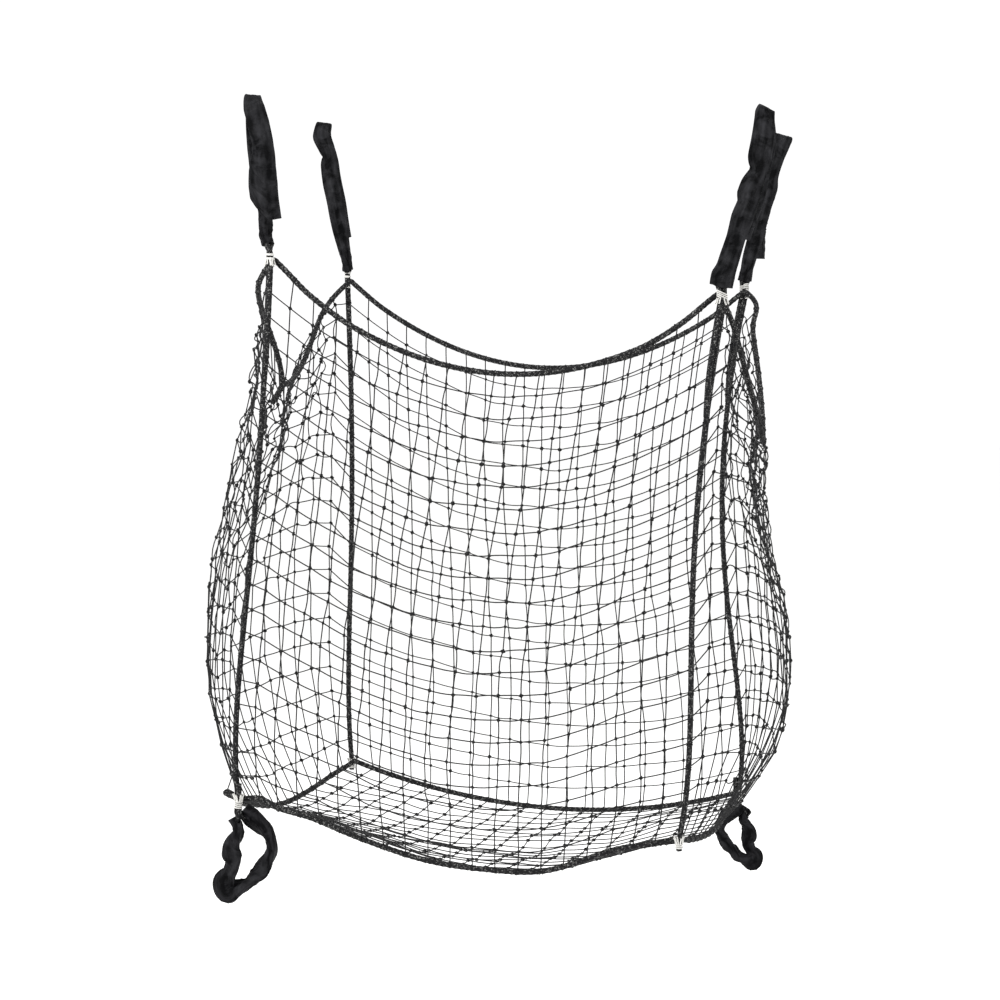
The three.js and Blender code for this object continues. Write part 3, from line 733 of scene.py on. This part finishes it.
# Loops. Rows run from the lashed end of the sleeve over the fold to its loose mouth, in millimetres:
# middle of the sleeve, its flat width, and its turn in degrees about its own length
liftingRows = {
    "front_left": [
        (-482, -438, -291, 34, 64), (-491, -428, -262, 36, 62), (-494, -416, -222, 36, 58),
        (-503, -410, -160, 42, 30), (-511, -410, -90, 42, 10), (-518, -411, -20, 34, 0),
        (-514, -440, 8, 34, -6), (-504, -469, -12, 43, 0), (-495, -471, -44, 46, 0), (-483, -472, -93, 43, 0),
        (-485, -472, -140, 57, 0), (-484, -471, -170, 62, 0), (-480, -471, -204, 60, 0),
        (-476, -472, -241, 60, 0)],
    "rear_left": [
        (-494, 416, -326, 29, 74), (-495, 408, -306, 29, 68), (-500, 398, -278, 33, 40),
        (-507, 390, -232, 36, 24), (-516, 386, -177, 38, 18), (-525, 385, -126, 43, 8),
        (-531, 385, -81, 42, 0), (-531, 385, -60, 33, 0), (-538, 385, -42, 38, 0), (-549, 386, -14, 42, 0),
        (-551, 415, 10, 36, 9), (-561, 445, -14, 40, 0), (-541, 446, -60, 30, 0), (-533, 447, -110, 32, -10),
        (-520, 447, -180, 30, -20), (-506, 449, -250, 26, 0)],
    "front_right": [
        (455, -433, -378, 48, 0), (460, -440, -357, 48, 0), (469, -448, -336, 40, 12),
        (486, -454, -282, 39, 8), (498, -455, -243, 45, 0), (509, -455, -213, 43, 6),
        (512, -455, -194, 50, 0), (518, -455, -174, 46, 0), (531, -455, -147, 35, 20),
        (533, -455, -120, 46, 0), (541, -455, -68, 43, 8), (541, -425, -28, 38, 28), (540, -396, -62, 42, 8),
        (538, -395, -92, 44, 0), (529, -395, -145, 44, 10), (512, -396, -210, 46, 0),
        (490, -398, -280, 42, -12)],
    "rear_right": [
        (437, 436, -353, 34, 14), (443, 427, -326, 30, 22), (450, 418, -300, 32, 10), (464, 409, -250, 36, 0),
        (482, 405, -180, 38, 0), (500, 405, -100, 38, 0), (515, 406, -56, 40, 6), (523, 435, -28, 44, 16),
        (508, 464, -66, 36, 10), (494, 466, -110, 40, 24), (491, 466, -142, 42, 26), (480, 466, -190, 40, 46),
        (470, 466, -230, 40, 58), (467, 467, -302, 38, 60)],
}
# tipping loop: across towards the middle of the bag, below the corner, flat width and turn
tippingRows = [
    (13, 22, 40, 30), (29, 37, 46, 16), (46, 51, 46, 24), (61, 67, 46, 44), (70, 85, 46, 66),
    (74, 101, 46, 72), (67, 118, 46, 62), (58, 135, 46, 40), (49, 149, 46, 36), (35, 162, 46, 56),
    (19, 178, 46, 70), (-2, 188, 46, 38), (-22, 194, 54, 0), (-29, 176, 50, 0), (-17, 155, 46, -46),
    (-10, 136, 46, -42), (-12, 118, 46, -10), (-11, 101, 46, -26), (-5, 86, 46, -48), (4, 70, 46, -70),
    (1, 52, 42, -54), (-7, 38, 42, -40)]
tippingSize = {"front_left": 1.0, "rear_right": 0.8}
tippingShift = {"front_left": 0, "rear_right": -13}  # across, in millimetres
tippingNeck = 40  # below the corner, from where the loop's size counts
# where the second rope lies beside the corner rope at a lashing
besides = {"front_left": (0.43, -0.9, 0), "front_right": (-0.52, -0.85, 0), "rear_right": (-0.73, 0.68, 0),
           "rear_left": (-0.29, 0.96, 0)}
sleeve = {
    "around": 60, "ring": 3 * mm, "wall": 1.0 * mm,
    # half depth at the edges, over a rope, over the fold, and of the lengthwise crease
    "thin": 1.4 * mm, "overRope": 7.5 * mm, "overFold": 9 * mm, "ridge": 9 * mm,
    # how far along the lashing and the fold are felt, and where the rope ends past the fold
    "lashedReach": 50 * mm, "foldReach": 22 * mm, "pastFold": 30 * mm, "emptyOver": 25 * mm,
    # crease line in each layer, from the left edge (-1) to the right one (1), and how it wanders
    "ridgeAt": {"front_left": 0.4, "rear_left": -0.35, "front_right": 0.25, "rear_right": 0.1},
    "tippingRidge": 0.2, "wander": 0.5, "wanderGrain": 11, "wanderLimit": 0.7,
    # small folds, lengthwise and slanting: how finely they vary across, slant and vary along, and their layer
    "folds": ((1.5, 5, 8, 0), (1.2, -26, 17, 5)), "crease": 2.5 * mm,
    "gather": 1.4 * mm, "gathers": 9, "sway": 2.5, "swayGrain": 14,
    "squareness": (8, 20),  # of the section, along the legs and at the fold
    # how far the mouth is cut back on its left in millimetres, outer and inner layer
    "mouthCut": {"front_left": (56, 40)}, "tippingCut": (24, 0), "cutFrom": 0.7, "cutOver": 0.3,
}


def flatOfLifting(tangent):
    side = Vector((1, 0, 0))
    return (side - tangent * tangent.dot(side)).normalized()


def flatOfTipping(tangent):
    return tangent.cross(Vector((0, 1, 0))).normalized()


def tippingPoint(name, across, drop, share):
    corner = corners[name]
    inward = -math.copysign(1, corner["top"][0])
    size = tippingSize[name]
    depth = outwardOf(corner).y * ropePitch * share
    across = inward * (across * size + tippingShift[name])
    below = tippingNeck + (drop - tippingNeck) * size
    return place(corner["foot"]) + Vector((across * mm, depth, -below * mm))


def sleeveCourse(rows, flatOf):
    # rows: (point, flat width, turn). Gives the way along the sleeve, its length and how far along its top is
    spans = 8
    fine = throughPoints([p for p, _, _ in rows], spans)
    lengths = [0.0]
    for a, b in zip(fine, fine[1:]):
        lengths.append(lengths[-1] + (b - a).length)

    def at(distance):
        k = next((n for n in range(1, len(lengths)) if lengths[n] >= distance), len(lengths) - 1)
        share = clamp((distance - lengths[k - 1]) / max(1e-9, lengths[k] - lengths[k - 1]))
        row, part = divmod(min((k - 1 + share) / spans, len(rows) - 1 - 1e-6), 1)
        (_, width0, turn0), (_, width1, turn1) = rows[int(row)], rows[int(row) + 1]
        before = fine[k] - fine[max(k - 2, 0)]
        after = fine[min(k + 1, len(fine) - 1)] - fine[k - 1]
        tangent = before.lerp(after, share).normalized()
        flat = Matrix.Rotation(math.radians(lerp(turn0, turn1, part)), 3, tangent) @ flatOf(tangent)
        centre, deep = fine[k - 1].lerp(fine[k], share), tangent.cross(flat).normalized()
        return centre, flat, deep, lerp(width0, width1, part)
    return at, lengths[-1], lengths[max(range(len(fine)), key=lambda i: fine[i].z)]


def liftingCourse(name):
    rows = [(place(row[:3]), row[3] * mm, row[4]) for row in liftingRows[name]]
    return sleeveCourse(rows, flatOfLifting)


def tippingCourse(name):
    last = len(tippingRows) - 1
    rows = [(tippingPoint(name, across, drop, i / last), width * tippingSize[name] * mm, turn)
            for i, (across, drop, width, turn) in enumerate(tippingRows)]
    return sleeveCourse(rows, flatOfTipping)


def loftSleeve(name, course, ropes, ridgeAt, mouthCut, seed):
    # a flattened tube with a lengthwise crease in each layer, swollen where one or two ropes run inside
    at, total, fold = course
    rings = int(total / sleeve["ring"])
    count = sleeve["around"]
    shift = Vector((seed * 3.3, seed * 5.1, seed * 1.9))
    pairHalf = ropePitch / 2 if ropes == 2 else 0.0
    ropeEnd = fold + sleeve["pastFold"] + sleeve["emptyOver"]
    limit = sleeve["wanderLimit"]
    points = []
    for ring in range(rings + 1):
        nearMouth = smooth((ring / rings - sleeve["cutFrom"]) / sleeve["cutOver"])
        for s in range(count):
            angle = 2 * math.pi * s / count
            c, d = math.cos(angle), math.sin(angle)
            cut = clamp((0.25 - c) / 1.25) ** 1.6 * lerp(mouthCut[1], mouthCut[0], 0.5 + 0.5 * d) * mm
            distance = total * ring / rings - cut * nearMouth
            centre, flat, deep, width = at(distance)
            x = width / 2 * c
            lashed, bent, filled = 0.0, 0.0, 1.0
            if ropes == 2:
                lashed = 1 - smooth(distance / sleeve["lashedReach"])
                bent = math.exp(-((distance - fold) / sleeve["foldReach"]) ** 2)
                filled = smooth((ropeEnd - distance) / sleeve["emptyOver"])
            layer = Vector((0, 0, 4 if d > 0 else 9)) + shift  # each layer creases in its own way
            wander = noise.noise(Vector((distance * sleeve["wanderGrain"], 0, 0)) + layer)
            line = clamp(ridgeAt + sleeve["wander"] * wander, -limit, limit)
            facet = 1 - abs(c - line) / (1 + line if c < line else 1 - line)
            half = sleeve["thin"] + sleeve["ridge"] * facet * (1 - 0.6 * max(bent, lashed))
            reach = max(abs(x) - pairHalf, 0.0)
            inside = math.sqrt(max(sleeve["overRope"] ** 2 - reach ** 2, 0.0)) * filled
            folds = [noise.noise(Vector((c * fine + distance * slant, distance * grain, deepness)) + layer)
                     for fine, slant, grain, deepness in sleeve["folds"]]
            crease = sum(max(1 - 4 * abs(value), 0) ** 2 for value in folds)
            gather = max(math.cos(sleeve["gathers"] * angle + 4 * folds[0]), 0) * lashed * sleeve["gather"]
            sway = noise.noise(Vector((c * 0.5, d * 0.5, distance * sleeve["swayGrain"])) + shift)
            stretched = sleeve["overFold"] * bent
            y = max(half, inside, stretched) + crease * sleeve["crease"] * (1 - 0.7 * bent) + gather
            y *= math.copysign((1 - abs(c) ** lerp(*sleeve["squareness"], bent)) ** 0.5, d)
            points.append(centre + flat * (x + c * (sway * sleeve["sway"] * mm)) + deep * y)
    faces = []
    for ring in range(rings):
        for s in range(count):
            a, b = ring * count + s, ring * count + (s + 1) % count
            faces.append((a, b, b + count, a + count))
    mesh = bpy.data.meshes.new(name)
    mesh.from_pydata(points, [], faces)
    mesh.polygons.foreach_set("use_smooth", [True] * len(faces))
    middle = rings // 2 * count
    girth = sum((points[middle + s] - points[middle + (s + 1) % count]).length for s in range(count))
    cloth = mesh.uv_layers.new(name="cloth")
    for polygon in mesh.polygons:
        ring, s = divmod(polygon.index, count)
        for loop, (ds, dr) in zip(polygon.loop_indices, ((0, 0), (1, 0), (1, 1), (0, 1))):
            cloth.data[loop].uv = ((s + ds) / count * girth, (ring + dr) / rings * total)
    mesh.materials.append(clothBlack)
    piece = bpy.data.objects.new(name, mesh)
    bpy.context.scene.collection.objects.link(piece)
    wall = piece.modifiers.new("wall", "SOLIDIFY")
    wall.thickness = sleeve["wall"]
    wall.offset = 0
    return settle(piece), girth, total


def hangSleeve(kind, name, course, ropes, ridgeAt, mouthCut, seed):
    piece, girth, length = loftSleeve(kind + "_cloth_" + name, course, ropes, ridgeAt, mouthCut, seed)
    handOver(piece, kind + "_sleeve_" + name)


# Corner ropes. Tail: how far down the corner, and how far beside it as a share of the pitch
cornerRun = {
    "tail": ((0.215, 0.15), (0.19, 0.45), (0.15, 0.85), (0.1, 1), (0.05, 1), (0, 1)),
    "neck": 0.55,  # of the way from the corner up to the sleeve, where the two ropes still lie together
    "legStep": 10 * mm, "lineSteps": 16,
    "stub": 22, "loopEnd": 34,  # millimetres past the foot
}


def cornerRope(name):
    corner = corners[name]
    top, foot = place(corner["top"]), place(corner["foot"])
    beside = Vector(besides[name]) * ropePitch
    # up inside the sleeve, a tight turn just past the fold, and back down beside itself
    at, _, fold = liftingCourse(name)
    turnAt = fold + sleeve["pastFold"]
    steps = int(turnAt / cornerRun["legStep"])
    legs = {1: [], -1: []}
    for i in range(steps + 1):
        centre, flat, _, _ = at(turnAt * i / steps)
        for s in legs:
            legs[s].append(centre + flat * s * ropePitch / 2)
    near = int(math.copysign(1, at(0)[1].dot(beside)))
    loop = legs[near] + [at(turnAt + ropePitch / 2)[0]] + legs[-near][::-1]
    rise = up * (at(0)[0].z - top.z) * cornerRun["neck"]
    course = [cornerLine(corner, down) + beside * share for down, share in cornerRun["tail"]]
    course += [top + beside + rise] + loop + [top + rise]
    course += [cornerLine(corner, i / cornerRun["lineSteps"]) for i in range(cornerRun["lineSteps"] + 1)]
    if name not in tippingSize:
        course.append(foot - up * cornerRun["stub"] * mm)
    else:
        past = up * cornerRun["loopEnd"] * mm
        last = len(tippingRows) - 1
        course.append(foot - past)
        course += [tippingPoint(name, tippingRows[i][0], tippingRows[i][1], i / last) for i in range(1, last)]
        course += [foot + beside - past, foot + beside, foot + beside + past]
    piece = grow("corner_rope_" + name + "_braid", [throughPoints(course, 6)], laidCord, ropeLook)
    handOver(piece, "corner_rope_" + name)


for name in corners:
    cornerRope(name)
for seed, name in enumerate(corners, 1):
    hangSleeve("lifting", name, liftingCourse(name), 2, sleeve["ridgeAt"][name],
               sleeve["mouthCut"].get(name, (0, 0)), seed)
for seed, name in enumerate(tippingSize, 7):
    hangSleeve("tipping", name, tippingCourse(name), 1, sleeve["tippingRidge"], sleeve["tippingCut"], seed)
print("loops sleeved")


# Lashings, bands and rays, heights in millimetres from the corner. A band: turns, from and to which height,
# and its slope across the front. Rays: how many, where they start and how far they run
lashings = {
    "top": {
        "front_left": ([(1.6, 22, 25, 0.0), (1.6, 14, 17, 0.0)], (12, 17, -17)),
        "front_right": ([(3.4, 4, 17, -0.4)], (9, 6, -14)),
        "rear_right": ([(3.6, 5, 21, 0.1), (1.3, -13, -10, 0.1)], (0, 0, 0)),
        "rear_left": ([(1.4, 18, 21, 0.0), (1.4, 9, 12, 0.0), (1.4, -15, -12, 0.0)], (0, 0, 0)),
    },
    "foot": {
        "front_left": ([(3.6, -18, -3, 0.1)], (14, -5, 18)),
        "front_right": ([(3.2, -18, -7, 0.1)], (12, -8, 17)),
        "rear_right": ([(3.2, -20, -6, -0.1)], (10, -8, 14)),
        "rear_left": ([(3.2, -18, -7, 0.0)], (10, -8, 14)),
    },
}
winding = {
    "turnSteps": 24, "looseEnd": 6,
    "proud": 1.0 * mm, "wobble": 0.3 * mm, "wobbles": 1.7,  # how far a band stands off the ropes
    "rayProud": 1.2, "rayFlare": 4, "rayJitter": 0.25, "rayDrift": 0.3, "rayLengths": (0.75, 1.1),
}


def lashing(level, name):
    corner = corners[name]
    random.seed(name + level)
    centre = place(corner[level])
    outward = Vector(besides[name]).normalized()
    beside = outward.cross(up)
    isPair = level == "top" or name in tippingSize
    span = ropePitch / 2 if isPair else 0.0

    def around(angle, proud, height):
        radius = ropeRadius + proud
        reach = span * (1 + clamp(1.5 * math.cos(angle), -1, 1)) + radius * math.cos(angle)
        return centre + outward * reach + beside * radius * math.sin(angle) + up * height

    paths = []
    bands, (count, start, length) = lashings[level][name]
    for turns, low, high, slope in bands:
        begin = random.uniform(0, 2 * math.pi)
        steps = int(turns * winding["turnSteps"])
        path = []
        for i in range(steps + 1):
            angle = begin + i / steps * turns * 2 * math.pi
            proud = winding["proud"] + winding["wobble"] * math.sin(angle * winding["wobbles"])
            spot = around(angle, proud, lerp(low, high, i / steps) * mm)
            path.append(spot + up * slope * (spot.x - centre.x))
        loose = (path[-1] - path[-2]).normalized() + (outward - up * 0.6) * 0.5
        path.append(path[-1] + loose.normalized() * winding["looseEnd"] * mm)
        paths.append(throughPoints(path, 2))
    jitter, drifts = winding["rayJitter"], winding["rayDrift"]
    for i in range(count):
        angle = (i + random.uniform(-jitter, jitter)) / count * 2 * math.pi
        drift = random.uniform(-drifts, drifts)
        reach = length * random.uniform(*winding["rayLengths"])
        ray = []
        for t in (0, 0.25, 0.5, 0.75, 1):
            proud = (winding["rayProud"] + winding["rayFlare"] * t * t) * mm
            ray.append(around(angle + drift * t, proud, (start + reach * t) * mm))
        paths.append(ray)
    node = "lashing_" + ("top" if level == "top" else "bottom") + "_" + name
    piece = grow(node + "_wound", paths, laidCord, twineLook)
    handOver(piece, node)


for level in lashings:
    for name in corners:
        lashing(level, name)
print("lashings wound")
